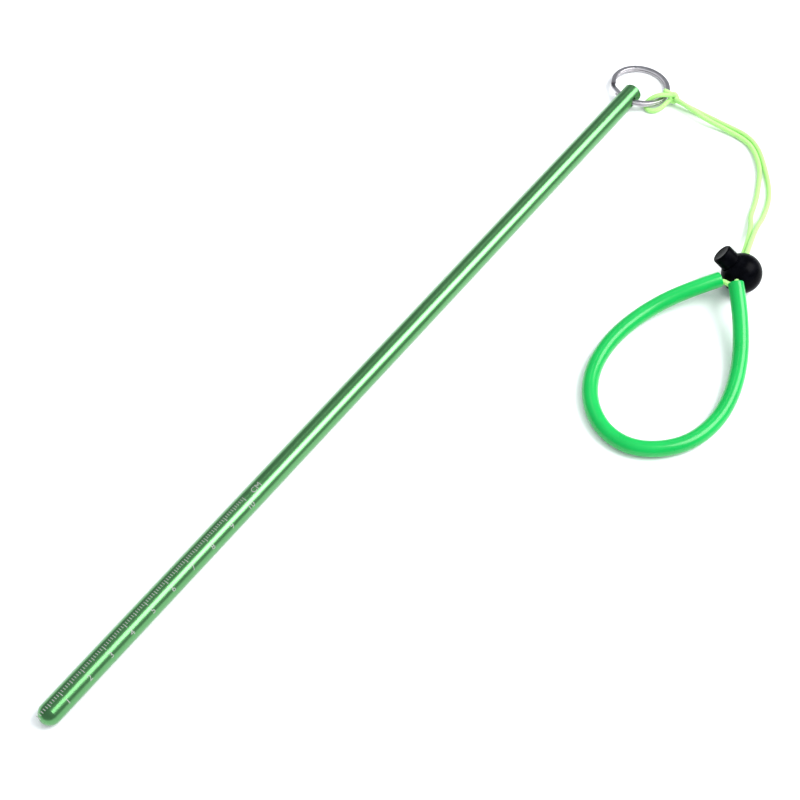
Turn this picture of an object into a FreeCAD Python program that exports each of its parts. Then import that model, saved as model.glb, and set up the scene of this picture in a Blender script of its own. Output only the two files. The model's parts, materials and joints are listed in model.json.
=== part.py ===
import FreeCAD, Part
import math
import os

# Pointer stick with a split ring and a wrist lanyard.
# Millimetres, +Z up, the object lying on the plane z = 0.
# Everything is built in the hang frame: its origin is on the plane, straight under
# the cross hole at the ring end, the stick runs towards -X and the lanyard lies on
# the -Y side.  At the end all solids move along X, so that the origin is the bottom
# centre of the stick and its ring.

Vector = FreeCAD.Vector

# ---- stick ----
stick_length = 350.0
stick_diameter = 8.0
stick_end_round = 0.6         # edge round at the ring end; the tip is a hemisphere
cross_hole_diameter = 4.0
cross_hole_inset = 5.0        # hole axis to the ring end
cross_hole_chamfer = 0.6

# ---- split ring: one flat wire wound two turns ----
ring_diameter = 25.0
wire_width = 1.9              # across the wire, along the ring's radius
wire_thickness = 0.96
wire_gap = 0.08               # between the two turns
wire_edge_round = 0.28
step_angle = 139.0            # place of the step, in degrees from the ring's far side
step_width = 26.0             # degrees in which the wire climbs one turn
end_clearance = 1.0           # degrees between the step and each cut end

# ---- cord and wrist tube ----
cord_diameter = 2.0
tube_diameter = 6.0
tube_bore = 4.2
knot_diameter = 2.15 * cord_diameter      # the doubled cord, tied on itself
cord_gap = 0.10               # between the two cords that lie side by side in the lock
lock_straight = 18.0          # the cord runs straight from here, before the lock's centre,
lock_exit = 8.7               # to here, where it turns into the tube,
lock_return = 6.9             # and again from here on its way back

# ---- cord lock ----
barrel_diameter = 15.6
barrel_place = Vector(-54.3, -86.3, 0.0)
cord_way = Vector(-0.950, -0.267, 0.149)      # along the cord hole, towards the wrist tube
plunger_way = Vector(-0.137, 0.806, 0.575)    # out of the button end
cord_hole_diameter = 6.0
cord_hole_chamfer = 1.2
plunger_diameter = 8.2
plunger_clearance = 0.10      # radial, in the barrel
bore_chamfer = 0.3
plunger_stand_out = 4.0       # button above the barrel's sphere, at rest
plunger_travel = 3.0
plunger_edge_round = 0.7
barrel_floor = 2.1            # under the spring, on the plunger's axis
plunger_floor = 1.2           # between the cord hole and the spring pocket
plunger_skirt = 1.5           # wall round the spring pocket, below its roof
stop_clearance = 0.15
spring_wire = 0.40
spring_diameter = 4.6         # outside
spring_pocket_clearance = 0.35
spring_turns = 2.5
cord_grip = 1.5               # cord centres above the hole's axis, held by the spring

# ---- cord routes, in the hang frame ----
hitch_route = [
    (10.0, -13.7, 2.3), (6.2, -13.4, 1.6), (3.2, -11.6, 1.15), (2.4, -8.8, 1.1),
    (4.4, -6.8, 1.6), (6.3, -7.7, 3.7), (8.5, -9.6, 5.1), (10.6, -11.9, 5.0),
]
tube_route = [
    (-62.9, -81.6, 9.2), (-70.6, -76.4, 8.4), (-82.0, -69.0, 5.8), (-95.5, -63.9, 3.8),
    (-110.0, -62.0, 3.1), (-124.5, -64.3, 3.1), (-136.2, -71.3, 3.1), (-143.1, -81.6, 3.1),
    (-143.7, -92.6, 3.1), (-137.7, -102.6, 3.1), (-127.6, -110.0, 3.1), (-114.0, -112.6, 3.1),
    (-100.0, -110.6, 3.4), (-87.0, -105.6, 4.9), (-76.3, -98.9, 7.5), (-68.2, -92.5, 10.4),
    (-63.3, -88.0, 12.3),
]
knot_centre = Vector(13.3, -14.8, 3.5)
cut_ends = [Vector(15.0, -10.9, 4.9), Vector(16.1, -14.1, 3.0)]
near_strand = [
    (12.0, -17.4, 4.3), (11.4, -24.6, 3.9), (11.0, -31.8, 3.0), (12.2, -39.7, 1.7),
    (12.6, -49.0, 1.1), (10.4, -55.2, 1.4), (2.6, -63.0, 1.6), (-4.3, -66.6, 1.3),
    (-13.8, -70.7, 1.2), (-22.3, -72.9, 1.6), (-28.0, -76.2, 3.2),
]
far_strand = [
    (-27.6, -78.4, 4.2), (-20.8, -77.6, 2.2), (-10.8, -74.9, 1.1), (-3.9, -71.1, 1.05),
    (3.4, -65.2, 1.05), (12.2, -56.9, 1.05), (15.4, -49.2, 1.05), (14.9, -40.8, 1.15),
    (14.2, -32.0, 1.6), (13.6, -24.2, 2.0), (13.4, -17.4, 2.3),
]


def unit(vector):
    return Vector(vector).normalize()


def tube_path(route):
    """Straight runs joined by tangent arcs, and the radius of each arc."""
    points = [Vector(*point) for point in route]
    edges = []
    radii = []
    start = points[0]
    for before, corner, after in zip(points, points[1:], points[2:]):
        to_start = unit(before - corner)
        to_end = unit(after - corner)
        reach = 0.45 * min((before - corner).Length, (after - corner).Length)
        half_turn = (math.pi - to_start.getAngle(to_end)) / 2
        radius = reach / math.tan(half_turn)
        arc_start = corner + to_start * reach
        arc_end = corner + to_end * reach
        inside = unit(to_start + to_end)
        middle = corner + inside * (radius / math.cos(half_turn) - radius)
        edges.append(Part.LineSegment(start, arc_start).toShape())
        edges.append(Part.Arc(arc_start, middle, arc_end).toShape())
        radii.append(radius)
        start = arc_end
    edges.append(Part.LineSegment(start, points[-1]).toShape())
    return Part.Wire(edges), radii


def sweep_round(path, diameter, way):
    """A round section swept along a path that starts in the direction way."""
    start = path.OrderedVertexes[0].Point
    section = Part.Wire(Part.makeCircle(diameter / 2, start, way))
    return path.makePipeShell([section], True, False)


def make_cord(name, route, diameter, bore=0.0):
    path, radii = tube_path(route)
    way = unit(Vector(*route[1]) - Vector(*route[0]))
    solid = sweep_round(path, diameter, way)
    area = math.pi * (diameter / 2) ** 2
    if bore:
        solid = solid.cut(sweep_round(path, bore, way))
        area -= math.pi * (bore / 2) ** 2
    print("%-13s length %.1f, tightest bend %.1f, volume over section times length %.4f" % (
        name, path.Length, min(radii), solid.Volume / (area * path.Length)))
    return solid


def cylinder(diameter, start, way, length):
    return Part.makeCylinder(diameter / 2, length, start, way)


def chamfer_cone(diameter, width, mouth, way):
    """The cutter that chamfers a round hole at mouth; way points out of the hole."""
    inner = mouth - way * width
    return Part.makeCone(diameter / 2, diameter / 2 + 2 * width, 2 * width, inner, way)


# ---- stick ----
stick_radius = stick_diameter / 2
stick_end = cross_hole_inset
stick_tip = stick_end - stick_length
hole_centre = Vector(0, 0, stick_radius)


def make_stick():
    profile_tip = Vector(stick_tip, 0, stick_radius)
    shoulder = Vector(stick_tip + stick_radius, 0, 2 * stick_radius)
    diagonal = stick_radius * math.sqrt(0.5)
    bulge = Vector(stick_tip + stick_radius - diagonal, 0, stick_radius + diagonal)
    end_top = Vector(stick_end - stick_end_round, 0, 2 * stick_radius)
    end_face = Vector(stick_end, 0, 2 * stick_radius - stick_end_round)
    round_back = stick_end_round * (1 - math.sqrt(0.5))
    end_bulge = Vector(stick_end - round_back, 0, 2 * stick_radius - round_back)
    end_centre = Vector(stick_end, 0, stick_radius)
    profile = Part.Wire([
        Part.Arc(profile_tip, bulge, shoulder).toShape(),
        Part.LineSegment(shoulder, end_top).toShape(),
        Part.Arc(end_top, end_bulge, end_face).toShape(),
        Part.LineSegment(end_face, end_centre).toShape(),
        Part.LineSegment(end_centre, profile_tip).toShape(),
    ])
    rod = Part.Face(profile).revolve(profile_tip, Vector(1, 0, 0), 360)
    across = Vector(0, 1, 0)
    hole = cylinder(cross_hole_diameter, hole_centre - across * stick_diameter, across, 2 * stick_diameter)
    # The wall stands back from the mouth's flanks, so the chamfer starts there.
    mouth = math.sqrt(stick_radius ** 2 - (cross_hole_diameter / 2) ** 2)
    for side in (across, -across):
        rim = hole_centre + side * mouth
        hole = hole.fuse(chamfer_cone(cross_hole_diameter, cross_hole_chamfer, rim, side))
    return rod.cut(hole)


# ---- split ring ----
ring_mean_radius = (ring_diameter - wire_width) / 2
turn_pitch = wire_thickness + wire_gap
ring_half_height = wire_thickness / 2 + turn_pitch / 2
# In the hole the wire bows by this much, and the ring stands so that the bow is centred.
wire_bow = ring_mean_radius - math.sqrt(ring_mean_radius ** 2 - stick_radius ** 2)
ring_offset = ring_mean_radius - wire_bow / 2
ring_reach = ring_offset + ring_diameter / 2
# The ring tips down until its far edge rests on the plane.
ring_tilt = (math.asin(stick_radius / math.hypot(ring_reach, ring_half_height))
             - math.atan2(ring_half_height, ring_reach))
ring_centre = Vector(ring_offset, 0, 0)


def ring_frame():
    """Places a shape that is built flat, with the hole's axis at its origin."""
    turn = FreeCAD.Rotation(Vector(0, 1, 0), math.degrees(ring_tilt))
    return FreeCAD.Placement(hole_centre, turn)


def ring_point(angle, height):
    across = ring_mean_radius * math.cos(math.radians(angle))
    along = ring_mean_radius * math.sin(math.radians(angle))
    return ring_centre + Vector(across, along, height)


def make_ring():
    low = -turn_pitch / 2
    high = turn_pitch / 2
    step_start = step_angle - step_width / 2
    step_end = step_angle + step_width / 2
    first_end = step_end + end_clearance
    last_end = step_start - end_clearance + 360
    lower = Part.Arc(ring_point(first_end, low), ring_point(first_end + 150, low),
                     ring_point(step_start + 360, low)).toShape()
    upper = Part.Arc(ring_point(step_end, high), ring_point(step_end + 150, high),
                     ring_point(last_end, high)).toShape()
    climb = []
    for share in (0, 0.2, 0.4, 0.5, 0.6, 0.8, 1):
        height = low + turn_pitch * (1 - math.cos(math.pi * share)) / 2
        climb.append(ring_point(step_start + step_width * share, height))
    curve = Part.BSplineCurve()
    away = [Vector(-math.sin(math.radians(angle)), math.cos(math.radians(angle)), 0)
            for angle in (step_start, step_end)]
    curve.interpolate(Points=climb, InitialTangent=away[0], FinalTangent=away[1])
    path = Part.Wire([lower, curve.toShape(), upper])
    outward = unit(ring_point(first_end, low) - ring_centre - Vector(0, 0, low))
    half = outward * (wire_width / 2)
    rise = Vector(0, 0, wire_thickness / 2)
    centre = ring_point(first_end, low)
    corners = [centre - half - rise, centre + half - rise, centre + half + rise, centre - half + rise]
    section = round_corners(corners, wire_edge_round)
    shell = Part.BRepOffsetAPI.MakePipeShell(path)
    shell.setBiNormalMode(Vector(0, 0, 1))
    shell.add(section)
    shell.build()
    shell.makeSolid()
    ring = shell.shape()
    ring.Placement = ring_frame()
    return ring


def round_corners(corners, radius):
    """A closed wire through flat corners, each rounded."""
    edges = []
    count = len(corners)
    arcs = []
    for index in range(count):
        corner = corners[index]
        back = unit(corners[index - 1] - corner)
        on = unit(corners[(index + 1) % count] - corner)
        arc_start = corner + back * radius
        arc_end = corner + on * radius
        middle = corner + (back + on) * radius * (1 - math.sqrt(0.5))
        arcs.append((arc_start, middle, arc_end))
    for index in range(count):
        arc_start, middle, arc_end = arcs[index]
        edges.append(Part.Arc(arc_start, middle, arc_end).toShape())
        edges.append(Part.LineSegment(arc_end, arcs[(index + 1) % count][0]).toShape())
    return Part.Wire(edges)


# ---- cord lock ----
barrel_radius = barrel_diameter / 2
barrel_centre = barrel_place + Vector(0, 0, barrel_radius)
cord_axis = unit(cord_way)
plunger_axis = unit(plunger_way - cord_axis * plunger_way.dot(cord_axis))
side_axis = cord_axis.cross(plunger_axis)
bore_diameter = plunger_diameter + 2 * plunger_clearance
spring_pocket_diameter = spring_diameter + 2 * spring_pocket_clearance


def on_plunger(distance):
    return barrel_centre + plunger_axis * distance


spring_seat = barrel_floor - barrel_radius
spring_roof = plunger_travel - cord_hole_diameter / 2 - plunger_floor
plunger_bottom = max(spring_roof - plunger_skirt, spring_seat + plunger_travel + stop_clearance)
plunger_top = barrel_radius + plunger_stand_out


def make_barrel():
    ball = Part.makeSphere(barrel_radius, barrel_centre)
    bore = cylinder(bore_diameter, on_plunger(spring_seat), plunger_axis, 2 * barrel_radius)
    start = barrel_centre - cord_axis * barrel_diameter
    hole = cylinder(cord_hole_diameter, start, cord_axis, 2 * barrel_diameter)
    mouth = math.sqrt(barrel_radius ** 2 - (cord_hole_diameter / 2) ** 2)
    for way in (cord_axis, -cord_axis):
        rim = barrel_centre + way * mouth
        hole = hole.fuse(chamfer_cone(cord_hole_diameter, cord_hole_chamfer, rim, way))
    bore_rim = on_plunger(math.sqrt(barrel_radius ** 2 - (bore_diameter / 2) ** 2))
    bore = bore.fuse(chamfer_cone(bore_diameter, bore_chamfer, bore_rim, plunger_axis))
    return ball.cut(bore).cut(hole)


def make_plunger():
    body = cylinder(plunger_diameter, on_plunger(plunger_bottom), plunger_axis, plunger_top - plunger_bottom)
    top_edges = [edge for edge in body.Edges
                 if (edge.CenterOfMass - on_plunger(plunger_top)).Length < 0.01]
    body = body.makeFillet(plunger_edge_round, top_edges)
    hole_start = on_plunger(plunger_travel) - cord_axis * plunger_diameter
    hole = cylinder(cord_hole_diameter, hole_start, cord_axis, 2 * plunger_diameter)
    pocket_length = spring_roof - plunger_bottom
    pocket = cylinder(spring_pocket_diameter, on_plunger(plunger_bottom), plunger_axis, pocket_length)
    return body.cut(hole).cut(pocket)


def make_spring():
    coil_radius = (spring_diameter - spring_wire) / 2
    length = spring_roof - spring_seat - spring_wire
    helix = Part.makeHelix(length / spring_turns, length, coil_radius)
    start = helix.OrderedVertexes[0].Point
    section = Part.Wire(Part.makeCircle(spring_wire / 2, start, Vector(0, 1, 0)))
    spring = Part.Wire(helix).makePipeShell([section], True, True)
    turn = FreeCAD.Rotation(Vector(0, 0, 1), plunger_axis)
    spring.Placement = FreeCAD.Placement(on_plunger(spring_seat + spring_wire / 2), turn)
    return spring


# ---- the cord, from the knot through the lock and the tube, and back ----
def in_lock(along, side):
    """A point of the cord on its straight way through the lock, as a route point."""
    point = (barrel_centre + cord_axis * along + plunger_axis * cord_grip
             + side_axis * side * (cord_diameter + cord_gap) / 2)
    return (point.x, point.y, point.z)


def make_lanyard_cord():
    to_tube = [in_lock(-lock_straight, 1), in_lock(lock_exit, 1)]
    from_tube = [in_lock(lock_return, -1), in_lock(-lock_straight, -1)]
    route = near_strand + to_tube + tube_route + from_tube + far_strand
    return make_cord("lanyard_cord", route, cord_diameter)


def in_knot(side):
    """Where the hitch ends in the knot: one cord over the other."""
    return (knot_centre.x, knot_centre.y, knot_centre.z + side * (cord_diameter + cord_gap) / 2)


knot_ball = Part.makeSphere(knot_diameter / 2, knot_centre)


def make_hitch():
    return make_cord("ring_hitch", [in_knot(-1)] + hitch_route + [in_knot(1)], cord_diameter).cut(knot_ball)


def make_knot():
    knot = knot_ball
    for end in cut_ends:
        way = end - knot_centre
        knot = knot.fuse(cylinder(cord_diameter, knot_centre, unit(way), way.Length))
    return knot


nodes = {
    "pointer_rod": make_stick(),
    "split_ring": make_ring(),
    "ring_hitch": make_hitch(),
    "cord_knot": make_knot(),
    "lanyard_cord": make_lanyard_cord(),
    "wrist_tube": make_cord("wrist_tube", tube_route, tube_diameter, tube_bore),
    "lock_barrel": make_barrel(),
    "lock_plunger": make_plunger(),
    "lock_spring": make_spring(),
}

# The origin is half way along the stick and its ring.
ring_far_edge = (ring_reach * math.cos(ring_tilt) + ring_half_height * math.sin(ring_tilt))
origin = Vector((stick_tip + ring_far_edge) / 2, 0, 0)

os.makedirs("parts", exist_ok=True)
for name, shape in nodes.items():
    shape.translate(-origin)
    shape.exportStep("parts/" + name + ".step")
    box = shape.BoundBox
    print("%-13s volume %8.1f  x %8.2f %8.2f  y %8.2f %8.2f  z %6.2f %6.2f" % (
        name, shape.Volume, box.XMin, box.XMax, box.YMin, box.YMax, box.ZMin, box.ZMax))


def to_row(point):
    return [round(value / 1000, 6) for value in point - origin]


# Where the joints are, in metres in the finished part's frame.
print("hole axis", to_row(hole_centre))
print("ring centre", to_row(ring_frame().multVec(ring_centre)), "axis", tuple(ring_frame().Rotation.multVec(Vector(0, 0, 1))))
print("knot", to_row(knot_centre))
print("lock centre", to_row(barrel_centre), "cord way", tuple(cord_axis), "button way", tuple(plunger_axis))
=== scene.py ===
"""A diver's pointer stick: split ring, cord, cord lock and wrist loop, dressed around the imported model.

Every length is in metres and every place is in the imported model's frame: +X runs along the stick from its
rounded tip to its ring, +Z is up from the surface the stick lies on, and the cord lies on the -Y side.
"""

import json
import logging
import math
from dataclasses import dataclass, field
from enum import Enum
from typing import Iterable, Sequence, Union

import bpy
import numpy as np
from mathutils import Matrix, Vector


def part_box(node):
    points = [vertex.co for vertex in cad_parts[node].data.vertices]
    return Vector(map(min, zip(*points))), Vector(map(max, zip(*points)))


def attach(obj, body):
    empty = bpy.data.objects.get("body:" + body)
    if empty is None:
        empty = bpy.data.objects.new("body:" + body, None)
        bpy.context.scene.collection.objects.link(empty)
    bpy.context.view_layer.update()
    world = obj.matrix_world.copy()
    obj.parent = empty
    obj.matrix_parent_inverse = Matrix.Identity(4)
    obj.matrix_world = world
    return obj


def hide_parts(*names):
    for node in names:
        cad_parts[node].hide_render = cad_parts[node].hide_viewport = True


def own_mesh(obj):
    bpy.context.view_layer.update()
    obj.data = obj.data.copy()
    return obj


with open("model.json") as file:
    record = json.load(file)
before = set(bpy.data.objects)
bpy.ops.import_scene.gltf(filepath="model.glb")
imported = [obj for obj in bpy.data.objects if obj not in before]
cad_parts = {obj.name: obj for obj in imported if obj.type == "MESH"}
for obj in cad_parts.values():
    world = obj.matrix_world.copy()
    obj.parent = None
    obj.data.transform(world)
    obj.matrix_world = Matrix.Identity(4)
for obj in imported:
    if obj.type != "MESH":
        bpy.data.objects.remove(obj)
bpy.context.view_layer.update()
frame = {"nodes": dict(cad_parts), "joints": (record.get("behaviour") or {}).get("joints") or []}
JOINTS = {joint["name"]: joint for joint in frame["joints"]}
LOG = logging.getLogger("pointer_stick")

MM = 0.001
Point = tuple[float, float, float]
Number = Union[int, float]


class Body(Enum):
    """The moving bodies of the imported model."""

    STICK = "stick"
    RING = "ring"
    HITCH = "hitch"
    LANYARD = "lanyard"
    LOCK = "lock"
    BUTTON = "button"


class Slot(Enum):
    """The material slots of the record."""

    ANODISED = "anodised_green"
    RING_STEEL = "ring_steel"
    CORD = "neon_cord"
    TUBE = "green_tube"
    LOCK = "lock_black"
    SPRING = "spring_steel"


# ---------------------------------------------------------------------------
# Materials
# ---------------------------------------------------------------------------


class Socket:
    """A value in a material's graph, on which arithmetic adds Math nodes."""

    def __init__(self, graph: "Graph", output: bpy.types.NodeSocket) -> None:
        """Keeps the graph and the output that carries the value."""
        self.graph = graph
        self.output = output

    def _math(self, operation: str, *values: Union["Socket", Number]) -> "Socket":
        """Adds a Math node.

        Args:
            operation: the Math node's operation.
            values: its inputs in order.

        Returns:
            The node's result.
        """
        node = self.graph.node("ShaderNodeMath", {"operation": operation}, dict(enumerate(values)))
        return Socket(self.graph, node.outputs[0])

    def __add__(self, other: Union["Socket", Number]) -> "Socket":
        """self + other."""
        return self._math("ADD", self, other)

    __radd__ = __add__

    def __sub__(self, other: Union["Socket", Number]) -> "Socket":
        """self - other."""
        return self._math("SUBTRACT", self, other)

    def __rsub__(self, other: Number) -> "Socket":
        """other - self."""
        return self._math("SUBTRACT", other, self)

    def __mul__(self, other: Union["Socket", Number]) -> "Socket":
        """self * other."""
        return self._math("MULTIPLY", self, other)

    __rmul__ = __mul__

    def __truediv__(self, other: Union["Socket", Number]) -> "Socket":
        """self / other."""
        return self._math("DIVIDE", self, other)

    def __pow__(self, other: Union["Socket", Number]) -> "Socket":
        """self to the power of other."""
        return self._math("POWER", self, other)

    def fraction(self) -> "Socket":
        """The part after the decimal point."""
        return self._math("FRACT", self)

    def whole(self) -> "Socket":
        """The whole number at or below the value."""
        return self._math("FLOOR", self)

    def sine(self) -> "Socket":
        """The sine of the value in radians."""
        return self._math("SINE", self)

    def even(self) -> "Socket":
        """1 where the whole value is even and 0 where it is odd."""
        return 1.0 - self._math("FLOORED_MODULO", self, 2.0)

    def clamped(self) -> "Socket":
        """The value held between 0 and 1."""
        return self._math("MAXIMUM", self._math("MINIMUM", self, 1.0), 0.0)


class Graph:
    """A material's node graph with its shader, and the one method that adds a node."""

    def __init__(self, name: str) -> None:
        """Makes a material that holds only a Principled shader and its output."""
        self.material = bpy.data.materials.new(name)
        self.material.use_nodes = True
        self.tree = self.material.node_tree
        self.tree.nodes.clear()
        self.shader = self.tree.nodes.new("ShaderNodeBsdfPrincipled")
        output = self.tree.nodes.new("ShaderNodeOutputMaterial")
        self.tree.links.new(self.shader.outputs["BSDF"], output.inputs["Surface"])

    def node(self, kind: str, settings: dict, inputs: dict) -> bpy.types.Node:
        """Adds a node.

        Args:
            kind: the node's type.
            settings: its properties, set before its inputs; "stops" are a ramp's (place, colour) pairs.
            inputs: socket name or index to a Socket or a plain value.

        Returns:
            The new node.
        """
        node = self.tree.nodes.new(kind)
        for key, value in settings.items():
            if key == "stops":
                ramp = node.color_ramp.elements
                while len(ramp) < len(value):
                    ramp.new(1.0)
                for stop, (place, colour) in zip(ramp, value):
                    stop.position = place
                    stop.color = (*colour, 1.0)
            else:
                setattr(node, key, value)
        for key, value in inputs.items():
            self.feed(node.inputs[key], value)
        return node

    def feed(self, target: bpy.types.NodeSocket, value: object) -> None:
        """Links a Socket to a node's input, or sets the input's own value."""
        if isinstance(value, Socket):
            self.tree.links.new(value.output, target)
        else:
            target.default_value = value

    def constants(self, **values: object) -> None:
        """Sets the shader's own sockets; an underscore in a key stands for a space."""
        for key, value in values.items():
            self.shader.inputs[key.replace("_", " ")].default_value = value

    def drive(self, name: str, value: Socket) -> None:
        """Links a value that changes over the surface to one of the shader's sockets."""
        self.feed(self.shader.inputs[name], value)

    def place(self, stretch: Point) -> Socket:
        """The surface point, scaled by stretch along each axis."""
        where = self.node("ShaderNodeTexCoord", {}, {})
        node = self.node("ShaderNodeMapping", {}, {"Vector": Socket(self, where.outputs["Object"]), "Scale": stretch})
        return Socket(self, node.outputs["Vector"])

    def along_and_round(self) -> tuple[Socket, Socket]:
        """The piece's own UV map: how far along it and how far round it a point is."""
        where = self.node("ShaderNodeUVMap", {"uv_map": WRAP_MAP}, {})
        split = self.node("ShaderNodeSeparateXYZ", {}, {"Vector": Socket(self, where.outputs["UV"])})
        return Socket(self, split.outputs["X"]), Socket(self, split.outputs["Y"])

    def noise(self, place: Socket, scale: float, detail: float = 4.0, roughness: float = 0.5) -> Socket:
        """Noise between 0 and 1.

        Args:
            place: the point it is read at.
            scale: how many grains it has in a metre.
            detail: the number of finer layers.
            roughness: how strong the finer layers are.

        Returns:
            The noise's value.
        """
        node = self.node("ShaderNodeTexNoise", {},
                         {"Vector": place, "Scale": scale, "Detail": detail, "Roughness": roughness})
        return Socket(self, node.outputs["Fac"])

    def ramp(self, value: Socket, stops: Sequence[tuple[float, Point]]) -> Socket:
        """A colour that goes through the stops as the value goes from 0 to 1."""
        node = self.node("ShaderNodeValToRGB", {"stops": stops}, {"Fac": value})
        return Socket(self, node.outputs["Color"])

    def between(self, value: Socket, low: float, high: float) -> Socket:
        """The value, from 0 to 1, moved to between low and high."""
        return value * (high - low) + low

    def bump(self, height: Socket, depth: float, strength: float = 1.0) -> None:
        """Gives the surface a relief.

        Args:
            height: from 0 to 1 over the surface.
            depth: what a height of 1 stands for.
            strength: how much of it shows.
        """
        node = self.node("ShaderNodeBump", {}, {"Height": height, "Distance": depth, "Strength": strength})
        self.drive("Normal", Socket(self, node.outputs["Normal"]))


WRAP_MAP = "wrap"
EVEN = (1.0, 1.0, 1.0)
TURN = 2.0 * math.pi
# How high a strand's crown stands where the strand beside it crosses, and how much it rises between.
CROWN_LOW = 0.55
CROWN_RISE = 0.45


@dataclass(frozen=True)
class AnodisedGreen:
    """Green anodised aluminium, drawn along the stick, with a satin gloss."""

    deep: Point = (0.095, 0.285, 0.102)
    fresh: Point = (0.128, 0.340, 0.132)
    smooth: float = 0.24
    dull: float = 0.34
    drawn_depth: float = 0.0008 * MM
    drawn_grain: float = 4200.0
    cloud_grain: float = 45.0

    def make(self) -> bpy.types.Material:
        """The finished material."""
        graph = Graph("anodised_green")
        graph.constants(Metallic=1.0, Coat_Weight=0.15, Coat_Roughness=0.2, Coat_IOR=1.5)
        drawn = graph.noise(graph.place((0.02, 1.0, 1.0)), self.drawn_grain, 3.0, 0.6)
        cloud = graph.noise(graph.place(EVEN), self.cloud_grain, 4.0, 0.5)
        graph.drive("Base Color", graph.ramp((drawn * 0.5 + cloud * 0.5).clamped(),
                                             [(0.30, self.deep), (0.72, self.fresh)]))
        graph.drive("Roughness", graph.between(drawn * 0.6 + cloud * 0.4, self.smooth, self.dull))
        graph.bump(drawn, self.drawn_depth, 0.6)
        return graph.material


@dataclass(frozen=True)
class LaserMark:
    """The pale, matt aluminium that a marking laser leaves in the green."""

    pale: Point = (0.40, 0.40, 0.38)
    worn: Point = (0.26, 0.31, 0.26)
    speckle_grain: float = 6500.0
    speckle_depth: float = 0.006 * MM

    def make(self) -> bpy.types.Material:
        """The finished material."""
        graph = Graph("laser_mark")
        graph.constants(Metallic=0.25, Specular_IOR_Level=0.4)
        speckle = graph.noise(graph.place(EVEN), self.speckle_grain, 3.0, 0.6)
        graph.drive("Base Color", graph.ramp(speckle, [(0.35, self.worn), (0.65, self.pale)]))
        graph.drive("Roughness", graph.between(speckle, 0.45, 0.7))
        graph.bump(speckle, self.speckle_depth)
        return graph.material


@dataclass(frozen=True)
class Steel:
    """Bright drawn steel with fine scratches."""

    name: str
    light: Point = (0.46, 0.44, 0.46)
    dark: Point = (0.33, 0.31, 0.33)
    smooth: float = 0.24
    dull: float = 0.36
    scratch_grain: float = 2600.0
    scratch_depth: float = 0.0012 * MM
    stain_grain: float = 240.0

    def make(self) -> bpy.types.Material:
        """The finished material."""
        graph = Graph(self.name)
        graph.constants(Metallic=1.0)
        fine = graph.noise(graph.place((1.0, 1.0, 6.0)), self.scratch_grain, 5.0, 0.65)
        stain = graph.noise(graph.place(EVEN), self.stain_grain, 4.0, 0.55)
        graph.drive("Base Color", graph.ramp((fine * 0.35 + stain * 0.65).clamped(),
                                             [(0.32, self.dark), (0.60, self.light)]))
        graph.drive("Roughness", graph.between(fine * 0.5 + stain * 0.5, self.smooth, self.dull))
        graph.bump(fine, self.scratch_depth, 0.5)
        return graph.material


@dataclass(frozen=True)
class NeonBraid:
    """Fluorescent braided cord: the strands of its cover cross over and under, with painted shade in the grooves
    between them and a faint painted glow.
    """

    strands: int
    lay: float
    top: Point = (0.46, 0.84, 0.27)
    # The darker groove colour is painted shade between the strands.
    groove: Point = (0.17, 0.60, 0.06)
    # Strength of the cord's painted glow.
    glow: float = 0.03
    yarns_each: float = 3.0
    weave_depth: float = 0.05 * MM

    def make(self) -> bpy.types.Material:
        """The finished material."""
        graph = Graph("neon_cord")
        graph.constants(Specular_IOR_Level=0.35, Sheen_Weight=0.25, Sheen_Roughness=0.4, Emission_Strength=self.glow)
        along, round_ = graph.along_and_round()
        turns = along * (UV_SPAN / self.lay * self.strands)
        right = round_ * float(self.strands) + turns
        left = round_ * float(self.strands) - turns
        crown_right = (right.fraction() * math.pi).sine()
        crown_left = (left.fraction() * math.pi).sine()
        over = (right.whole() + left.whole()).even()
        crown = (over * crown_right * (CROWN_LOW + crown_left * CROWN_RISE)
                 + (1.0 - over) * crown_left * (CROWN_LOW + crown_right * CROWN_RISE))
        # Each strand is a few yarns, which run along it.
        yarn_right = (right * (self.yarns_each * TURN)).sine()
        yarn_left = (left * (self.yarns_each * TURN)).sine()
        yarns = (over * yarn_right + (1.0 - over) * yarn_left) * 0.5 + 0.5
        shade = (crown * 0.75 + yarns * 0.15 + 0.10).clamped()
        # Painted shade: the colour darkens into the grooves between the strands and lightens on their crowns, following
        # the weave's relief.
        colour = graph.ramp(shade, [(0.15, self.groove), (0.62, self.top)])
        graph.drive("Base Color", colour)
        # Painted glow: the cord gives off a faint light in its own colour, though it is no lamp.
        graph.drive("Emission Color", colour)
        graph.drive("Roughness", graph.between(shade, 0.75, 0.5))
        graph.bump((crown * 0.6 + yarns * 0.4).clamped(), self.weave_depth, 0.8)
        return graph.material


@dataclass(frozen=True)
class SoftTubing:
    """Soft green plastic tubing with a wet gloss."""

    deep: Point = (0.0015, 0.37, 0.062)
    fresh: Point = (0.003, 0.45, 0.080)
    cloud_grain: float = 70.0
    peel_grain: float = 900.0
    die_lines: float = 14.0
    die_depth: float = 0.010 * MM

    def make(self) -> bpy.types.Material:
        """The finished material."""
        graph = Graph("green_tube")
        graph.constants(Coat_Weight=0.25, Coat_Roughness=0.16, Specular_IOR_Level=0.25,
                        Subsurface_Weight=0.08, Subsurface_Scale=1.2 * MM, Subsurface_Radius=(0.3, 1.0, 0.4))
        _, round_ = graph.along_and_round()
        cloud = graph.noise(graph.place(EVEN), self.cloud_grain, 4.0, 0.5)
        peel = graph.noise(graph.place(EVEN), self.peel_grain, 2.0, 0.5)
        graph.drive("Base Color", graph.ramp(cloud, [(0.3, self.deep), (0.7, self.fresh)]))
        graph.drive("Roughness", graph.between(peel * 0.5 + cloud * 0.5, 0.22, 0.36))
        # The die leaves faint lines along the tubing.
        die = ((round_ * (self.die_lines * TURN)).sine() * 0.5 + 0.5) * 0.3 + peel * 0.7
        graph.bump(die, self.die_depth, 0.7)
        return graph.material


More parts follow.
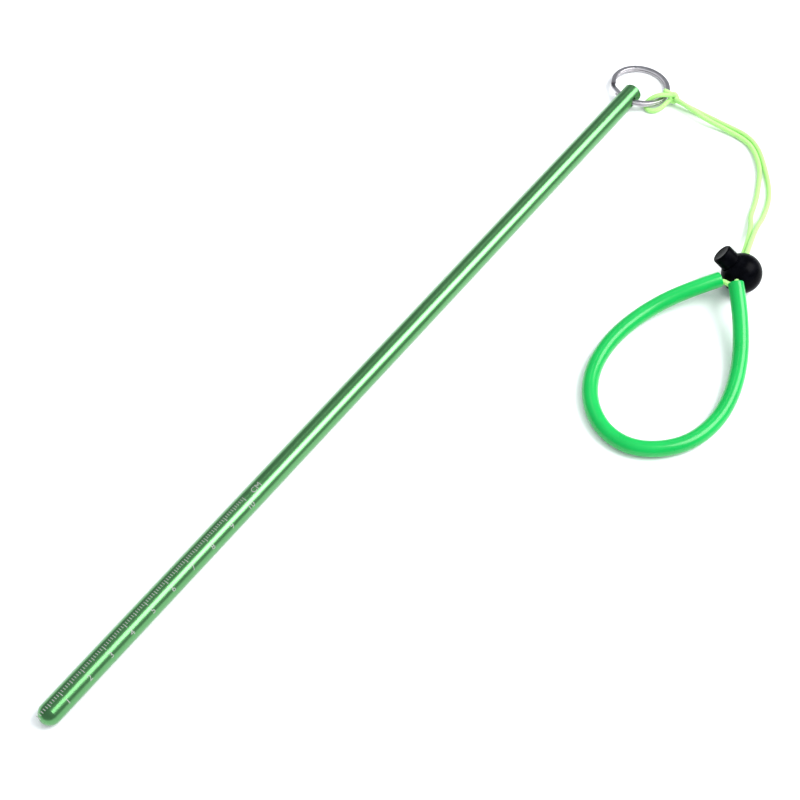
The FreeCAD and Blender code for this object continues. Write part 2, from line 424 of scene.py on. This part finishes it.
@dataclass(frozen=True)
class BlackPlastic:
    """Glossy black moulded plastic with a faint orange peel and a few rubbed spots."""

    black: Point = (0.0010, 0.0011, 0.0018)
    rubbed: Point = (0.0035, 0.0035, 0.0055)
    peel_grain: float = 650.0
    peel_depth: float = 0.012 * MM
    rub_grain: float = 260.0

    def make(self) -> bpy.types.Material:
        """The finished material."""
        graph = Graph("lock_black")
        graph.constants(Specular_IOR_Level=0.05, IOR=1.30)
        peel = graph.noise(graph.place(EVEN), self.peel_grain, 2.0, 0.5)
        rub = graph.noise(graph.place(EVEN), self.rub_grain, 5.0, 0.6)
        graph.drive("Base Color", graph.ramp(rub, [(0.45, self.black), (0.75, self.rubbed)]))
        graph.drive("Roughness", graph.between(rub, 0.20, 0.34))
        graph.bump(peel, self.peel_depth, 0.5)
        return graph.material


# ---------------------------------------------------------------------------
# Modelling helpers
# ---------------------------------------------------------------------------

UV_SPAN = 0.5
WELD = 1e-7


def deselect() -> None:
    """Leaves nothing selected, in object mode."""
    if bpy.context.object and bpy.context.object.mode != "OBJECT":
        bpy.ops.object.mode_set(mode="OBJECT")
    bpy.ops.object.select_all(action="DESELECT")


def pick(*objects: bpy.types.Object) -> None:
    """Selects these objects alone and makes the first the active one."""
    deselect()
    for piece in objects:
        piece.select_set(True)
    bpy.context.view_layer.objects.active = objects[0]


def turned(name: str, profile: Sequence[tuple[float, float]], vertices: int) -> bpy.types.Object:
    """A turned solid about +Z: a disc extruded and scaled ring by ring.

    Args:
        name: the new object's name.
        profile: (height, radius) of each ring, from one end to the other.
        vertices: how many points each ring has.

    Returns:
        The new object, with closed ends.
    """
    deselect()
    height, radius = profile[0]
    bpy.ops.mesh.primitive_circle_add(vertices=vertices, radius=radius, fill_type="NGON", location=(0, 0, height))
    piece = bpy.context.object
    piece.name = name
    bpy.ops.object.transform_apply(location=True, rotation=False, scale=False)
    bpy.ops.object.mode_set(mode="EDIT")
    bpy.ops.mesh.select_all(action="SELECT")
    for next_height, next_radius in profile[1:]:
        bpy.ops.mesh.extrude_region_move(TRANSFORM_OT_translate={"value": (0, 0, next_height - height)})
        share = next_radius / radius
        bpy.ops.transform.resize(value=(share, share, 1), center_override=(0, 0, next_height))
        height, radius = next_height, next_radius
    bpy.ops.mesh.select_all(action="SELECT")
    bpy.ops.mesh.normals_make_consistent(inside=False)
    bpy.ops.object.mode_set(mode="OBJECT")
    return piece


def cut_away(piece: bpy.types.Object, cutter: bpy.types.Object) -> None:
    """Takes the cutter's shape out of the piece and removes the cutter."""
    pick(piece)
    cut = piece.modifiers.new("cut", "BOOLEAN")
    cut.operation = "DIFFERENCE"
    cut.solver = "EXACT"
    cut.object = cutter
    bpy.ops.object.modifier_apply(modifier=cut.name)
    bpy.data.objects.remove(cutter)


def place(piece: bpy.types.Object, centre: Vector, z_way: Vector, x_way: Vector) -> None:
    """Turns and moves a piece that was built about the origin, and applies its place to its mesh.

    Args:
        piece: the piece.
        centre: where its origin goes.
        z_way: where its Z axis points.
        x_way: roughly where its X axis points.
    """
    z_axis = z_way.normalized()
    x_axis = (x_way - z_axis * x_way.dot(z_axis)).normalized()
    y_axis = z_axis.cross(x_axis)
    turn = Matrix((x_axis, y_axis, z_axis)).transposed().to_4x4()
    piece.matrix_world = Matrix.Translation(centre) @ turn
    pick(piece)
    bpy.ops.object.transform_apply(location=True, rotation=True, scale=True)


def smooth_shade(piece: bpy.types.Object, angle: float = 32.0) -> None:
    """Shades a piece smooth, apart from edges sharper than the angle in degrees."""
    pick(piece)
    bpy.ops.object.shade_smooth_by_angle(angle=math.radians(angle))


def dress(piece: bpy.types.Object, material: bpy.types.Material, body: Body, slot: Slot, *nodes: str) -> None:
    """Gives a piece its material and its body, and hides the CAD nodes it stands for."""
    piece.data.materials.clear()
    piece.data.materials.append(material)
    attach(piece, body.value)
    if nodes:
        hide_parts(*nodes)
    LOG.info("%s rides on %s with %d faces", piece.name, body.value, len(piece.data.polygons))


@dataclass
class SoftLine:
    """The smooth line that a cord or tube follows, with a frame at each of its points."""

    points: np.ndarray
    distance: np.ndarray
    side: np.ndarray
    up: np.ndarray

    @classmethod
    def through(cls, route: Iterable[Point], resolution: int = 40) -> "SoftLine":
        """The line of the NURBS spline that has the route as its control points.

        Args:
            route: the route's points.
            resolution: how finely the spline is read between two of them.

        Returns:
            The line, with frames that turn as little as they can.
        """
        curve = nurbs("line", route, resolution)
        mesh = bpy.data.meshes.new_from_object(curve)
        points = np.array([vertex.co for vertex in mesh.vertices])
        bpy.data.meshes.remove(mesh)
        bpy.data.curves.remove(curve.data)
        keep = np.r_[True, np.linalg.norm(np.diff(points, axis=0), axis=1) > WELD]
        points = points[keep]
        steps = np.linalg.norm(np.diff(points, axis=0), axis=1)
        distance = np.r_[0.0, np.cumsum(steps)]
        ways = np.gradient(points, distance, axis=0)
        ways /= np.linalg.norm(ways, axis=1)[:, None]
        up = np.zeros_like(points)
        guess = np.array([0.0, 0.0, 1.0]) - ways[0] * ways[0][2]
        for index, way in enumerate(ways):
            guess = guess - way * guess.dot(way)
            guess /= np.linalg.norm(guess)
            up[index] = guess
        return cls(points, distance, np.cross(ways, up), up)

    @property
    def length(self) -> float:
        """The line's length."""
        return float(self.distance[-1])

    def rings(self, stations: np.ndarray, radius: np.ndarray, angles: np.ndarray) -> np.ndarray:
        """The points of one ring round the line at each station.

        Args:
            stations: how far along the line each ring is.
            radius: the ring's radius at each station and angle.
            angles: the angles round the line.

        Returns:
            An array of stations by angles by 3.
        """
        read = [np.stack([np.interp(stations, self.distance, part[:, axis]) for axis in range(3)], axis=1)
                for part in (self.points, self.side, self.up)]
        centre, side, up = (part[:, None, :] for part in read)
        outwards = side * np.cos(angles)[None, :, None] + up * np.sin(angles)[None, :, None]
        return centre + radius[..., None] * outwards


def nurbs(name: str, route: Iterable[Point], resolution: int) -> bpy.types.Object:
    """A curve object of one smooth NURBS spline.

    Args:
        name: the object's name.
        route: the spline's control points.
        resolution: how finely it is drawn between two of them.

    Returns:
        The new object.
    """
    curve = bpy.data.curves.new(name, "CURVE")
    curve.dimensions = "3D"
    curve.resolution_u = resolution
    spline = curve.splines.new("NURBS")
    points = list(route)
    spline.points.add(len(points) - 1)
    for target, point in zip(spline.points, points):
        target.co = (*point, 1.0)
    spline.order_u = 3
    spline.use_endpoint_u = True
    return bpy.data.objects.new(name, curve)


def skin(name: str, rings: np.ndarray, stations: np.ndarray, closed: bool) -> bpy.types.Object:
    """A mesh over rings of points.

    Args:
        name: the new object's name.
        rings: the points, as stations by angles by 3.
        stations: how far along the piece each ring is, for its UV map.
        closed: True joins the last ring to the first; False closes each end with a fan.

    Returns:
        The new object, with a UV map of how far along and how far round each point is.
    """
    count, around = rings.shape[:2]
    vertices = rings.reshape(-1, 3)
    index = np.arange(count * around).reshape(count, around)
    last = count if closed else count - 1
    faces: list[tuple[int, ...]] = []
    places: list[tuple[float, float]] = []
    for row in range(last):
        after = (row + 1) % count
        for column in range(around):
            beside = (column + 1) % around
            faces.append((index[row, column], index[row, beside], index[after, beside], index[after, column]))
            low, high = column / around, (column + 1) / around
            start, stop = stations[row] / UV_SPAN, stations[after] / UV_SPAN
            places += [(start, low), (start, high), (stop, high), (stop, low)]
    if not closed:
        centres = rings[[0, -1]].mean(axis=1)
        vertices = np.vstack([vertices, centres])
        for end, row in enumerate((0, count - 1)):
            for column in range(around):
                pair = (index[row, column], index[row, (column + 1) % around])
                faces.append((*(pair[::-1] if end == 0 else pair), count * around + end))
                low, high = column / around, (column + 1) / around
                start = stations[row] / UV_SPAN
                places += [(start, low), (start, high), (start, low)]
    mesh = bpy.data.meshes.new(name)
    mesh.from_pydata(vertices.tolist(), [], faces)
    layer = mesh.uv_layers.new(name=WRAP_MAP)
    layer.data.foreach_set("uv", np.array(places, np.float32).ravel())
    mesh.update()
    piece = bpy.data.objects.new(name, mesh)
    bpy.context.scene.collection.objects.link(piece)
    pick(piece)
    bpy.ops.object.mode_set(mode="EDIT")
    bpy.ops.mesh.select_all(action="SELECT")
    bpy.ops.mesh.normals_make_consistent(inside=False)
    bpy.ops.object.mode_set(mode="OBJECT")
    bpy.ops.object.shade_smooth()
    return piece


# ---------------------------------------------------------------------------
# The cord, the wrist tube and the knot
# ---------------------------------------------------------------------------

# Routes in millimetres, measured from the cross hole along X.
HOLE = Vector(JOINTS["ring_swing"]["pos_m"])
HITCH_ROUTE = (
    (13.3, -14.8, 2.45), (10.0, -13.7, 2.3), (6.2, -13.4, 1.6), (3.2, -11.6, 1.15), (2.4, -8.8, 1.1),
    (4.4, -6.8, 1.6), (6.3, -7.7, 3.7), (8.5, -9.6, 5.1), (10.6, -11.9, 5.0), (13.3, -14.8, 4.55),
)
TUBE_ROUTE = (
    (-62.9, -81.6, 9.2), (-70.6, -76.4, 8.4), (-82.0, -69.0, 5.8), (-95.5, -63.9, 3.8),
    (-110.0, -62.0, 3.1), (-124.5, -64.3, 3.1), (-136.2, -71.3, 3.1), (-143.1, -81.6, 3.1),
    (-143.7, -92.6, 3.1), (-137.7, -102.6, 3.1), (-127.6, -110.0, 3.1), (-114.0, -112.6, 3.1),
    (-100.0, -110.6, 3.4), (-87.0, -105.6, 4.9), (-76.3, -98.9, 7.5), (-68.2, -92.5, 10.4),
    (-63.3, -88.0, 12.3),
)
NEAR_STRAND = (
    (12.2, -16.2, 4.35), (11.4, -24.6, 3.9), (11.0, -31.8, 3.0), (12.2, -39.7, 1.7),
    (12.6, -49.0, 1.1), (10.4, -55.2, 1.4), (2.6, -63.0, 1.6), (-4.3, -66.6, 1.3),
    (-13.8, -70.7, 1.2), (-22.3, -72.9, 1.6), (-28.0, -76.2, 3.2),
)
TO_TUBE = ((-37.66, -79.72, 5.13), (-45.94, -82.05, 6.43), (-58.41, -85.55, 8.39), (-63.07, -86.87, 9.12))
FROM_TUBE = ((-60.78, -87.49, 10.54), (-57.83, -86.66, 10.07), (-45.36, -83.16, 8.12), (-37.08, -80.83, 6.82))
FAR_STRAND = (
    (-27.6, -78.4, 4.2), (-20.8, -77.6, 2.2), (-10.8, -74.9, 1.1), (-3.9, -71.1, 1.05),
    (3.4, -65.2, 1.05), (12.2, -56.9, 1.05), (15.4, -49.2, 1.05), (14.9, -40.8, 1.15),
    (14.2, -32.0, 1.6), (13.6, -24.2, 2.0), (13.4, -16.2, 2.35),
)
KNOT_ROUTE = (
    (11.6, -10.4, 6.0), (12.3, -12.0, 5.5), (12.9, -13.9, 4.9), (13.9, -15.9, 4.2), (13.6, -16.6, 2.6),
    (12.4, -15.7, 1.7), (12.0, -14.2, 2.6), (12.2, -13.7, 4.3), (13.4, -14.6, 5.2), (14.4, -15.6, 3.9),
    (14.3, -15.2, 2.4), (15.0, -14.4, 2.5), (16.6, -13.9, 3.0),
)


def in_row(route: Iterable[Point]) -> list[Point]:
    """A route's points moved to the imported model's frame, in metres."""
    return [(HOLE.x + x * MM, y * MM, z * MM) for x, y, z in route]


@dataclass
class Lanyard:
    """The cord with its hitch and knot, and the tube that makes the wrist loop."""

    cord_diameter: float = 2.0 * MM
    cord_length: float = 0.447
    strands: int = 8
    lay: float = 9.0 * MM
    relief: float = 0.055 * MM
    mean_crown: float = 0.75
    cord_step: float = 0.28 * MM
    cord_points: int = 32
    seal: float = 0.7 * MM
    tube_diameter: float = 6.0 * MM
    tube_length: float = 0.199
    tube_bore: float = 4.2 * MM
    tube_rim: float = 0.30 * MM
    rim_steps: int = 5
    tube_step: float = 0.9 * MM
    tube_points: int = 64
    lines: dict[str, SoftLine] = field(default_factory=dict)

    def braid(self, stations: np.ndarray, angles: np.ndarray) -> np.ndarray:
        """The cord's radius, with the strands of its cover in relief.

        Args:
            stations: distances along the cord.
            angles: angles round it.

        Returns:
            The radius at each station and angle.
        """
        turns = stations[:, None] / self.lay * self.strands
        share = angles[None, :] / TURN * self.strands
        right, left = share + turns, share - turns
        crown_right = np.sin(math.pi * (right % 1))
        crown_left = np.sin(math.pi * (left % 1))
        over = (np.floor(right) + np.floor(left)) % 2 == 0
        crown = np.where(over, crown_right * (CROWN_LOW + CROWN_RISE * crown_left),
                         crown_left * (CROWN_LOW + CROWN_RISE * crown_right))
        return self.cord_diameter / 2 + self.relief * (crown - self.mean_crown)

    def cord(self, name: str, route: Iterable[Point], sealed: bool) -> bpy.types.Object:
        """A braided cord along a route.

        Args:
            name: the piece's name.
            route: its control points, in metres.
            sealed: True rounds its two ends, as a flame does to a cut end.

        Returns:
            The new piece.
        """
        line = SoftLine.through(route)
        self.lines[name] = line
        stations = np.linspace(0, line.length, max(8, round(line.length / self.cord_step)))
        angles = np.arange(self.cord_points) * (2 * math.pi / self.cord_points)
        radius = self.braid(stations, angles)
        if sealed:
            to_end = np.minimum(stations, line.length - stations) / self.seal
            radius = radius * np.sqrt(np.clip(1 - (1 - np.clip(to_end, 0, 1)) ** 2, 0.04, 1))[:, None]
        return skin(name, line.rings(stations, radius, angles), stations, closed=False)

    def tube(self, name: str, route: Iterable[Point]) -> bpy.types.Object:
        """The hollow wrist tube, with rounded rims.

        Args:
            name: the piece's name.
            route: its control points, in metres.

        Returns:
            The new piece.
        """
        line = SoftLine.through(route)
        self.lines[name] = line
        outer, inner, rim = self.tube_diameter / 2, self.tube_bore / 2, self.tube_rim
        run = np.linspace(rim, line.length - rim, round(line.length / self.tube_step))
        turn = np.linspace(0, math.pi / 2, self.rim_steps + 1)[1:]
        far = line.length - rim
        stations = np.concatenate([run, far + rim * np.sin(turn), far + rim * np.cos(turn - turn[0]),
                                   run[::-1], rim - rim * np.sin(turn), rim - rim * np.cos(turn - turn[0])])
        radii = np.concatenate([np.full(len(run), outer), outer - rim + rim * np.cos(turn),
                                inner + rim - rim * np.sin(turn - turn[0]),
                                np.full(len(run), inner), inner + rim - rim * np.cos(turn),
                                outer - rim + rim * np.sin(turn - turn[0])])
        angles = np.arange(self.tube_points) * (2 * math.pi / self.tube_points)
        radius = np.repeat(radii[:, None], self.tube_points, axis=1)
        return skin(name, line.rings(stations, radius, angles), stations, closed=True)

    def build(self) -> None:
        neon = NeonBraid(self.strands, self.lay).make()
        green = SoftTubing().make()
        hitch = self.cord("ring_hitch_cord", in_row(HITCH_ROUTE), sealed=False)
        dress(hitch, neon, Body.HITCH, Slot.CORD, "ring_hitch")
        knot = self.cord("knot_cord", in_row(KNOT_ROUTE), sealed=True)
        dress(knot, neon, Body.HITCH, Slot.CORD, "cord_knot")
        whole_route = NEAR_STRAND + TO_TUBE + TUBE_ROUTE + FROM_TUBE + FAR_STRAND
        main = self.cord("lanyard_cord_braid", in_row(whole_route), sealed=False)
        dress(main, neon, Body.LANYARD, Slot.CORD, "lanyard_cord")
        tube = self.tube("wrist_loop_tube", in_row(TUBE_ROUTE))
        dress(tube, green, Body.LANYARD, Slot.TUBE, "wrist_tube")


# ---------------------------------------------------------------------------
# The cord lock
# ---------------------------------------------------------------------------


@dataclass
class CordLock:
    """The ball lock: a barrel with a cord hole, a sprung plunger with its button, and the spring."""

    ball_radius: float = 7.8 * MM
    bore_radius: float = 4.2 * MM
    bore_floor: float = -5.7 * MM
    bore_round: float = 0.30 * MM
    hole_radius: float = 3.0 * MM
    hole_round: float = 0.9 * MM
    mouth_past: float = 0.2
    fine: int = 96
    corner_steps: int = 9
    ball_steps: int = 60
    pole_gap: float = 0.02
    dish_shares: tuple[float, ...] = (0.9, 0.75, 0.6, 0.45, 0.3, 0.15, 0.03)
    button_radius: float = 4.1 * MM
    button_top: float = 11.8 * MM
    button_round: float = 0.8 * MM
    button_dish: float = 0.22 * MM
    plunger_bottom: float = -2.7 * MM
    plunger_roof: float = -1.2 * MM
    plunger_hole: float = 3.0 * MM
    pocket_radius: float = 2.65 * MM
    spring_radius: float = 2.1 * MM
    spring_wire: float = 0.2 * MM
    spring_turns: float = 2.5
    spring_squashed: float = 0.34

    def __post_init__(self) -> None:
        """Reads the lock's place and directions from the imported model."""
        low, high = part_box("lock_barrel")
        self.centre = Vector(((low.x + high.x) / 2, (low.y + high.y) / 2, self.ball_radius))
        self.cord_way = -Vector(JOINTS["lock_slide"]["axis"])
        self.button_way = -Vector(JOINTS["button_press"]["axis"])

    def hole_cutter(self) -> bpy.types.Object:
        """The cord hole's shape, along Z, with mouths that round over into the ball."""
        fillet = self.hole_round
        out = self.hole_radius + fillet
        start = math.sqrt((self.ball_radius - fillet) ** 2 - out ** 2)
        last = math.pi / 2 + math.acos(out / (self.ball_radius - fillet)) - self.mouth_past
        arc = [(start + fillet * math.sin(turn), out - fillet * math.cos(turn))
               for turn in np.linspace(0, last, self.corner_steps)]
        height, radius = arc[-1]
        slope = (arc[-1][1] - arc[-2][1]) / (arc[-1][0] - arc[-2][0])
        beyond = self.ball_radius * 1.25
        arc.append((beyond, radius + slope * (beyond - height)))
        profile = [(-z, r) for z, r in reversed(arc)] + arc
        return turned("hole_cutter", profile, self.fine)

    def barrel(self) -> bpy.types.Object:
        """The ball with its plunger bore and its cord hole."""
        radius, rim = self.ball_radius, self.bore_round
        out = self.bore_radius + rim
        rim_height = math.sqrt((radius - rim) ** 2 - out ** 2)
        latitude = math.atan2(rim_height, out)
        pole = -math.pi / 2 + self.pole_gap
        sphere = [(radius * math.sin(turn), radius * math.cos(turn))
                  for turn in np.linspace(pole, latitude, self.ball_steps)]
        edge = [(rim_height + rim * math.sin(turn), out + rim * math.cos(turn))
                for turn in np.linspace(latitude, math.pi, 8)[1:]]
        bore = [(self.bore_floor, self.bore_radius)]
        ball = turned("lock_ball", sphere + edge + bore, self.fine)
        cutter = self.hole_cutter()
        place(cutter, Vector(), Vector((1, 0, 0)), Vector((0, 1, 0)))
        cut_away(ball, cutter)
        return ball

    def plunger(self) -> bpy.types.Object:
        """The plunger, with its rounded button, its cord hole and its spring pocket."""
        radius, edge, top = self.button_radius, self.button_round, self.button_top
        corner = [(top - edge + edge * math.sin(turn), radius - edge + edge * math.cos(turn))
                  for turn in np.linspace(0, math.pi / 2, self.corner_steps)]
        face = [(top - self.button_dish * (1 - share ** 2), (radius - edge) * share)
                for share in self.dish_shares]
        profile = [(self.plunger_roof, 0.1 * MM), (self.plunger_roof, self.pocket_radius),
                   (self.plunger_bottom, self.pocket_radius), (self.plunger_bottom, radius)] + corner + face
        plunger = turned("lock_button", profile, self.fine)
        cutter = turned("cord_way_cutter", [(-2 * radius, self.hole_radius), (2 * radius, self.hole_radius)], 64)
        place(cutter, Vector((0, 0, self.plunger_hole)), Vector((1, 0, 0)), Vector((0, 1, 0)))
        cut_away(plunger, cutter)
        return plunger

    def spring(self) -> bpy.types.Object:
        """The spring under the plunger, wound from a round wire."""
        deselect()
        height = self.plunger_roof - self.bore_floor - 2 * self.spring_wire
        bpy.ops.mesh.primitive_circle_add(vertices=16, radius=self.spring_wire, fill_type="NGON",
                                          location=(self.spring_radius, 0, self.bore_floor + self.spring_wire),
                                          rotation=(math.pi / 2, 0, 0))
        spring = bpy.context.object
        spring.name = "lock_coil_spring"
        bpy.ops.object.transform_apply(location=True, rotation=True, scale=True)
        wind = spring.modifiers.new("wind", "SCREW")
        wind.angle = TURN * self.spring_turns
        wind.screw_offset = height
        wind.steps = wind.render_steps = round(40 * self.spring_turns)
        bpy.ops.object.modifier_apply(modifier=wind.name)
        bpy.ops.object.mode_set(mode="EDIT")
        bpy.ops.mesh.select_all(action="SELECT")
        bpy.ops.mesh.normals_make_consistent(inside=False)
        bpy.ops.object.mode_set(mode="OBJECT")
        return spring

    def build(self) -> list[bpy.types.Object]:
        """Makes the lock's three pieces.

        Returns:
            The ball, the button and the spring.
        """
        black = BlackPlastic().make()
        ball, button, spring = self.barrel(), self.plunger(), self.spring()
        for piece in (ball, button, spring):
            place(piece, self.centre, self.button_way, self.cord_way)
            smooth_shade(piece)
        dress(ball, black, Body.LOCK, Slot.LOCK, "lock_barrel")
        dress(button, black, Body.BUTTON, Slot.LOCK, "lock_plunger")
        dress(spring, Steel("spring_steel").make(), Body.LOCK, Slot.SPRING, "lock_spring")
        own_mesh(spring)
        return [ball, button, spring]


# ---------------------------------------------------------------------------
# The stick with its scale, and the ring
# ---------------------------------------------------------------------------


class Tick(Enum):
    """Where a line of the scale ends, in degrees from the stick's top towards -Y."""

    MILLIMETRE = 0.0
    HALF = 5.0
    CENTIMETRE = 11.0


@dataclass
class PointerStick:
    """The stick, which keeps its CAD shape, with the scale that is marked on it."""

    radius: float = 4.0 * MM
    scale_length: int = 100
    tick_start: float = -18.0
    tick_width: float = 0.26 * MM
    number_turn: float = 48.0
    number_size: float = 3.1 * MM
    unit_turn: float = 2.0
    unit_place: float = 106.0 * MM
    proud: float = 0.02 * MM
    sunk: float = 0.05 * MM
    slices: int = 10

    def __post_init__(self) -> None:
        """Reads the tip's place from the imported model."""
        low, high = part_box("pointer_rod")
        self.tip = low.x
        self.axis_height = (low.z + high.z) / 2

    def wrap(self, piece: bpy.types.Object, along: float, turn: float) -> None:
        """Lays a flat piece on the stick.

        Args:
            piece: flat in X and Y, its thickness in Z.
            along: where its origin goes, from the tip.
            turn: where its origin goes, in degrees from the top towards -Y.
        """
        mesh = piece.data
        points = np.zeros(len(mesh.vertices) * 3)
        mesh.vertices.foreach_get("co", points)
        x, y, z = points.reshape(-1, 3).T
        angle = y / self.radius - math.radians(turn)
        reach = self.radius + z
        laid = np.stack([self.tip + along + x, reach * np.sin(angle), self.axis_height + reach * np.cos(angle)], axis=1)
        mesh.vertices.foreach_set("co", laid.ravel())
        mesh.update()

    def slice_across(self, piece: bpy.types.Object, low: float, high: float) -> None:
        """Cuts a flat piece into bands from low to high in Y, so that it can bend."""
        pick(piece)
        bpy.ops.object.mode_set(mode="EDIT")
        for height in np.linspace(low, high, self.slices + 1)[1:-1]:
            bpy.ops.mesh.select_all(action="SELECT")
            bpy.ops.mesh.bisect(plane_co=(0, height, 0), plane_no=(0, 1, 0), threshold=WELD)
        bpy.ops.object.mode_set(mode="OBJECT")

    def tick(self, kind: Tick) -> bpy.types.Object:
        """One line of the scale, flat, with its lower end at its origin."""
        deselect()
        length = math.radians(kind.value - self.tick_start) * self.radius
        bpy.ops.mesh.primitive_cube_add(size=1.0)
        line = bpy.context.object
        line.scale = (self.tick_width, length, self.proud + self.sunk)
        line.location = (0, length / 2, (self.proud - self.sunk) / 2)
        bpy.ops.object.transform_apply(location=True, rotation=True, scale=True)
        self.slice_across(line, 0, length)
        return line

    def lettering(self, words: str, size: float) -> bpy.types.Object:
        """A flat word or number, centred on its origin.

        Args:
            words: what it says.
            size: the letters' size.

        Returns:
            The new mesh object.
        """
        deselect()
        bpy.ops.object.text_add(location=(0, 0, 0))
        text = bpy.context.object
        text.data.body = words
        text.data.size = size
        text.data.align_x = "CENTER"
        text.data.align_y = "CENTER"
        text.data.extrude = (self.proud + self.sunk) / 2
        text.data.resolution_u = 3
        bpy.ops.object.convert(target="MESH")
        piece = bpy.context.object
        for vertex in piece.data.vertices:
            vertex.co.z += (self.proud - self.sunk) / 2
        bpy.ops.object.mode_set(mode="EDIT")
        bpy.ops.mesh.select_all(action="SELECT")
        bpy.ops.mesh.remove_doubles(threshold=WELD)
        bpy.ops.object.mode_set(mode="OBJECT")
        self.slice_across(piece, -size / 2, size / 2)
        return piece

    def scale_marks(self) -> bpy.types.Object:
        """The whole scale: its lines, its numbers and its unit, as one piece."""
        models = {kind: self.tick(kind) for kind in Tick}
        parts = []
        for step in range(self.scale_length + 1):
            kind = Tick.CENTIMETRE if step % 10 == 0 else Tick.HALF if step % 5 == 0 else Tick.MILLIMETRE
            line = bpy.data.objects.new("line", models[kind].data.copy())
            bpy.context.scene.collection.objects.link(line)
            self.wrap(line, step * MM, kind.value)
            parts.append(line)
        for model in models.values():
            bpy.data.objects.remove(model)
        for number in range(1, self.scale_length // 10 + 1):
            figure = self.lettering(str(number), self.number_size)
            self.wrap(figure, number * 10 * MM, self.number_turn)
            parts.append(figure)
        unit = self.lettering("CM", self.number_size)
        self.wrap(unit, self.unit_place, self.unit_turn)
        parts.append(unit)
        pick(*parts)
        bpy.ops.object.join()
        marks = bpy.context.object
        marks.name = "stick_scale"
        return marks

    def build(self) -> None:
        """Finishes the stick and adds its scale."""
        stick = frame["nodes"]["pointer_rod"]
        stick.data.materials.clear()
        stick.data.materials.append(AnodisedGreen().make())
        marks = self.scale_marks()
        dress(marks, LaserMark().make(), Body.STICK, Slot.ANODISED)


@dataclass
class SplitRing:
    """The split ring, which keeps its CAD shape."""

    def build(self) -> None:
        """Finishes the ring."""
        ring = frame["nodes"]["split_ring"]
        ring.data.materials.clear()
        ring.data.materials.append(Steel("ring_steel").make())


# ---------------------------------------------------------------------------
# The studio
# ---------------------------------------------------------------------------


@dataclass
class Studio:
    """A pale floor, soft light and the camera."""

    aim: Point = (-0.0149, -0.0146, 0.0)
    distance: float = 0.551
    azimuth: float = -52.6
    elevation: float = 56.8
    lens: float = 67.5
    sensor: float = 36.0
    floor_size: float = 8.0
    sky: Point = (0.86, 0.93, 1.0)
    sky_strength: float = 0.45

    def camera(self) -> None:
        """Adds the camera."""
        turn, rise = math.radians(self.azimuth), math.radians(self.elevation)
        back = Vector((math.sin(turn) * math.cos(rise), -math.cos(turn) * math.cos(rise), math.sin(rise)))
        data = bpy.data.cameras.new("camera")
        data.lens, data.sensor_width = self.lens, self.sensor
        data.clip_start, data.clip_end = 0.01, 20.0
        camera = bpy.data.objects.new("camera", data)
        bpy.context.scene.collection.objects.link(camera)
        camera.location = Vector(self.aim) + back * self.distance
        camera.rotation_mode = "QUATERNION"
        camera.rotation_quaternion = (-back).to_track_quat("-Z", "Y")
        bpy.context.scene.camera = camera

    def panel(self, name: str, way: Point, distance: float, size: tuple[float, float], power: float,
              shows: bool) -> None:
        """Adds a light panel that faces the object, with its first side along X.

        Args:
            name: the light's name.
            way: where it stands, as a direction from the object.
            distance: how far away it stands.
            size: the panel's two sides.
            power: its power in watts.
            shows: whether it is seen in gloss.
        """
        data = bpy.data.lights.new(name, "AREA")
        data.shape, data.energy = "RECTANGLE", power
        data.size, data.size_y = size
        light = bpy.data.objects.new(name, data)
        bpy.context.scene.collection.objects.link(light)
        direction = Vector(way).normalized()
        across = (Vector((1, 0, 0)) - direction * direction.x).normalized()
        turn = Matrix((across, direction.cross(across), direction)).transposed()
        light.location = Vector(self.aim) + direction * distance
        light.rotation_mode = "QUATERNION"
        light.rotation_quaternion = turn.to_quaternion()
        light.visible_glossy = shows

    def floor(self) -> None:
        """Adds the floor."""
        deselect()
        bpy.ops.mesh.primitive_plane_add(size=self.floor_size, location=(0, 0, 0))
        floor = bpy.context.object
        floor.name = "floor"
        graph = Graph("floor_white")
        graph.constants(Roughness=0.9, Specular_IOR_Level=0.0, Base_Color=(0.93, 0.94, 0.95, 1.0))
        floor.data.materials.append(graph.material)

    def build(self) -> None:
        """Adds the camera, the floor, the light panels and the sky."""
        self.camera()
        self.floor()
        self.panel("key_light", way=(0.43, -0.47, 0.77), distance=1.3, size=(1.0, 0.74), power=21.0, shows=True)
        self.panel("edge_light", way=(0.45, 0.405, 0.795), distance=1.5, size=(1.2, 0.16), power=1.6, shows=True)
        self.panel("fill_light", way=(-0.1, 0.0, 1.0), distance=1.6, size=(2.6, 2.6), power=24.0, shows=False)
        world = bpy.data.worlds.new("studio")
        world.use_nodes = True
        back = world.node_tree.nodes["Background"]
        back.inputs["Color"].default_value = (*self.sky, 1.0)
        back.inputs["Strength"].default_value = self.sky_strength
        bpy.context.scene.world = world
        bpy.context.scene.view_settings.view_transform = "Standard"


def save_sizes() -> None:
    """Brings the placement of every piece up to date."""
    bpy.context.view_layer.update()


def main() -> None:
    """Builds the studio and the object, piece by piece."""
    logging.basicConfig(level=logging.INFO)
    Studio().build()
    lanyard = Lanyard()
    lanyard.build()
    lock_pieces = CordLock().build()
    PointerStick().build()
    SplitRing().build()
    save_sizes()


if __name__ == "__main__":
    main()
